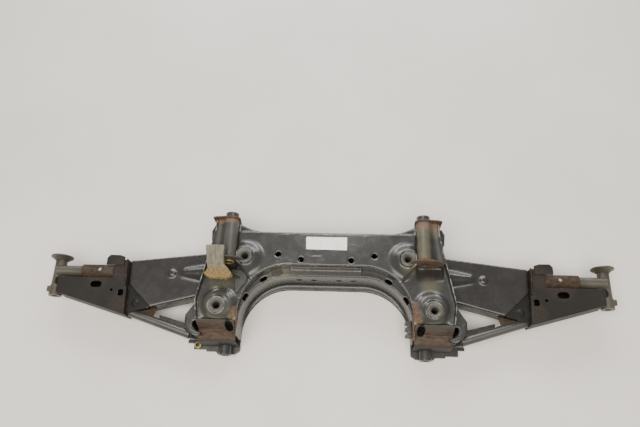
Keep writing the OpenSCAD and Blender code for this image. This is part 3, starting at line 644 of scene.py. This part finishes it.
def paper_label():
    """The label: a thin flat sheet with rounded corners."""
    least_rise, corner_r = 0.2, 2.2
    piece = merged_copy("label", "label_sheet")
    shape = bmesh.from_edit_mesh(piece.data)
    for edge in shape.edges:
        edge.select_set(abs(edge.verts[0].co.z - edge.verts[1].co.z) > least_rise * MM)
    bmesh.update_edit_mesh(piece.data)
    bpy.ops.mesh.select_mode(type="EDGE")
    bpy.ops.mesh.bevel(offset=corner_r * MM, segments=4)
    bpy.ops.mesh.select_mode(type="VERT")
    bpy.ops.object.mode_set(mode="OBJECT")
    dress(piece, "label")


def drawn_parts(x, y, z):
    """Where the front shell was drawn deepest: round its domes' feet and on the ramps below the ears."""
    out, near = abs(x), 0
    for dome_x, dome_y, inner, outer in DOMES:
        away = math.hypot(out - dome_x, y - dome_y)
        if inner < away < outer:
            near = max(near, min(1, (away - inner) / 4, (outer - away) / 4))
    (x0, x1), (y0, y1) = RAMP_X, RAMP_Y
    if x0 < out < x1 and y0 < y < y1:
        near = max(near, min(1, (y - y0) / 6, (y1 - y) / 4, (x1 - out) / 6, (out - x0) / 6))
    return near


def rib_part(x, y, z):
    """Where an arm's tapered rib runs out into the flat."""
    out, aside = abs(x), abs(y - RIB_Y)
    if z <= RIB_Z:
        return 0
    return max(0, min(1, (out - RIB_X[0]) / 6, (RIB_X[1] - out) / 6, (RIB_HALF - aside) / 6))


# Voxel in mm, passes and share of faces kept, then the parts that settle further and their passes
pressed = {"front_shell": (1.7, 8, 0.9, drawn_parts, 80), "rear_shell": (2.0, 7, 0.5)}
for tag, _ in SIDES:
    pressed["arm_front_" + tag] = (1.8, 8, 0.9, rib_part, 50)
    pressed["end_box_" + tag] = (1.6, 5, 0.5)
made_apart = {"tan_block", "label", "tube_cover_l", "tube_cover_r", "tower_web_l", "tower_web_r"}
EDGE = 0.9
edge_width = {"hook_strap": 1.6, "post_disc_l": 1.4, "post_disc_r": 1.4}
for name, piece in nodes.items():
    if name in pressed:
        drawn_sheet(name, *pressed[name])
    elif name not in made_apart:
        piece.data.materials.clear()
        piece.data.materials.append(own_finish.get(name) or finish_of[slot_of[name]])
        soften(piece, edge_width.get(name, EDGE))
foam_block()
paper_label()
for tag, s in SIDES:
    tube_cover(tag, s)
    corner_lip(tag, s)
    foot_corner(tag, s)
    ear_line = [(s * x, EAR_TOP + 1.2, z + 0.6) for x, z in cover_line(EAR_TOP)[1:]]
    cap_line = [(s * x, TOWER_TOP - 0.6, z + 0.3) for x, z in cover_line(TOWER_TOP)[1:]]
    rim_line = [(s * rim_x(y), y, rim_z(y)) for y in range(-6, 84, 3)]
    weld_bead("ear_weld_" + tag, ear_line, 4.2)
    weld_bead("cap_weld_" + tag, cap_line, 3.0)
    weld_bead("rim_weld_" + tag, rim_line, 2.4, cover_paint[tag], "shell_paint")


# Pale floor that the part lies on
bpy.ops.object.select_all(action="DESELECT")
bpy.ops.mesh.primitive_plane_add(size=8, location=(0, 0, -0.4 * MM))
floor = bpy.context.object
floor.name = "floor"
floor.data.materials.append(pale_floor())

# Camera at the photo's viewing angle, with its focal length in pixels of the image
TILT, ROLL, TURN = math.radians(22.3), math.radians(2.2), math.radians(3.0)
CAMERA_AT = (0.04796, -0.40047, 1.33818)
FOCAL, IMAGE_WIDTH, SENSOR = 600, 640, 36
yaw = Matrix.Rotation(TURN, 3, "Y")
back = yaw @ Vector((0, -math.sin(TILT), math.cos(TILT)))
across = yaw @ Vector((1, 0, 0))
upward = yaw @ Vector((0, math.cos(TILT), math.sin(TILT)))
right = across * math.cos(ROLL) + upward * math.sin(ROLL)
up = upward * math.cos(ROLL) - across * math.sin(ROLL)
lens = bpy.data.cameras.new("photo_camera")
lens.sensor_fit = "HORIZONTAL"
lens.sensor_width = SENSOR
lens.lens = FOCAL / IMAGE_WIDTH * SENSOR
camera = bpy.data.objects.new("photo_camera", lens)
bpy.context.scene.collection.objects.link(camera)
camera.matrix_world = Matrix((right, up, back)).transposed().to_4x4()
camera.location = CAMERA_AT
bpy.context.scene.camera = camera


# Soft studio light

def soft_lamp(name, place, aim, size, power, tone, gloss_only=False):
    """A square-cornered area lamp in metres and watts; one for gloss alone shows only in reflections."""
    lamp = bpy.data.lights.new(name, "AREA")
    lamp.shape = "RECTANGLE"
    lamp.size, lamp.size_y = size
    lamp.energy = power
    lamp.color = linear(tone)[:3]
    holder = bpy.data.objects.new(name, lamp)
    bpy.context.scene.collection.objects.link(holder)
    holder.location = place
    holder.rotation_euler = (Vector(aim) - Vector(place)).to_track_quat("-Z", "Y").to_euler()
    holder.visible_diffuse = not gloss_only


soft_lamp("overhead_panel", (-0.2, -0.9, 2.7), (0, 0, 0), (3.0, 1.6), 118, "#FFFCF5")
# A low strip behind the part and a short one over its middle give the crisp lights on domes, ribs and folds
soft_lamp("back_strip", (0.0, 1.5, 0.55), (0, 0, 0.1), (2.4, 0.4), 42, "#FFFFFF", gloss_only=True)
soft_lamp("middle_strip", (0.0, 0.58, 0.95), (0, 0.05, 0.12), (0.2, 0.22), 3, "#FFFFFF", gloss_only=True)
soft_lamp("back_panel", (0.0, 2.4, 2.0), (0, 0, 0), (3.0, 1.2), 50, "#FBFCFF")
world = bpy.data.worlds.new("studio_air")
bpy.context.scene.world = world
world.use_nodes = True
world.node_tree.nodes["Background"].inputs["Color"].default_value = linear("#EDECEA")
world.node_tree.nodes["Background"].inputs["Strength"].default_value = 0.5
